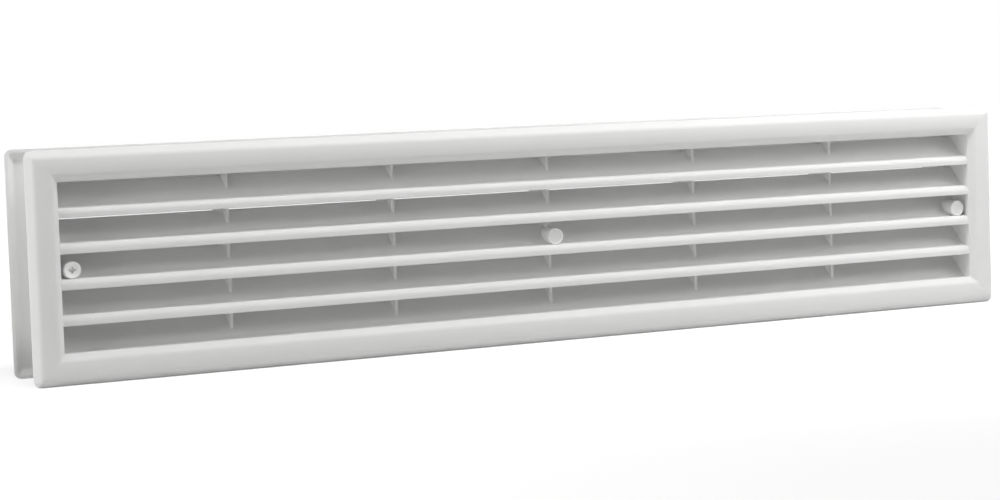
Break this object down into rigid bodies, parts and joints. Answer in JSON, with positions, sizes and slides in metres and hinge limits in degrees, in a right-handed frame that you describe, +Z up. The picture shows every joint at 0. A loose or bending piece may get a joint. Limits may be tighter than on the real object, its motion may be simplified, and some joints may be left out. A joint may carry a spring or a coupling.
{
  "type": "door vent grille",
  "caption": "White plastic door vent of two louvred flanged halves whose collars telescope through the door leaf and are drawn together by screws in moulded posts.",
  "frame": {"origin": "centre of the closed vent, midway between its two faces", "axes": "+X along the length, to the right seen from the front; +Y from the front face to the rear face, through the door; +Z up"},
  "size_m": [0.457, 0.04, 0.092],
  "materials": {
    "white_plastic": "satin moulded",
    "white_screw": "satin painted"
  },
  "bodies": {
    "front_half": {"front_grille": "white_plastic"},
    "rear_half": {"rear_grille": "white_plastic"},
    "left_screw": {"screw_left": "white_screw"},
    "middle_screw": {"screw_middle": "white_screw"},
    "right_screw": {"screw_right": "white_screw"}
  },
  "joints": [
    {"name": "clamp_slide", "type": "slide", "parent": "front_half", "child": "rear_half", "axis": [0, 1, 0], "range_m": [0, 0.008]},
    {"name": "left_screw_turn", "type": "hinge", "parent": "front_half", "child": "left_screw", "pos_m": [-0.211, 0, -0.0011], "axis": [0, 1, 0], "range_deg": [-2305, 0]},
    {"name": "middle_screw_turn", "type": "hinge", "parent": "rear_half", "child": "middle_screw", "pos_m": [0, 0, -0.0011], "axis": [0, 1, 0], "range_deg": [0, 2305]},
    {"name": "right_screw_turn", "type": "hinge", "parent": "rear_half", "child": "right_screw", "pos_m": [0.211, 0, -0.0011], "axis": [0, 1, 0], "range_deg": [0, 2305]}
  ],
  "couplings": [
    {"joint": "left_screw_turn", "follows": "clamp_slide", "rad_per_m": -5026.5},
    {"joint": "middle_screw_turn", "follows": "clamp_slide", "rad_per_m": 5026.5},
    {"joint": "right_screw_turn", "follows": "clamp_slide", "rad_per_m": 5026.5}
  ]
}
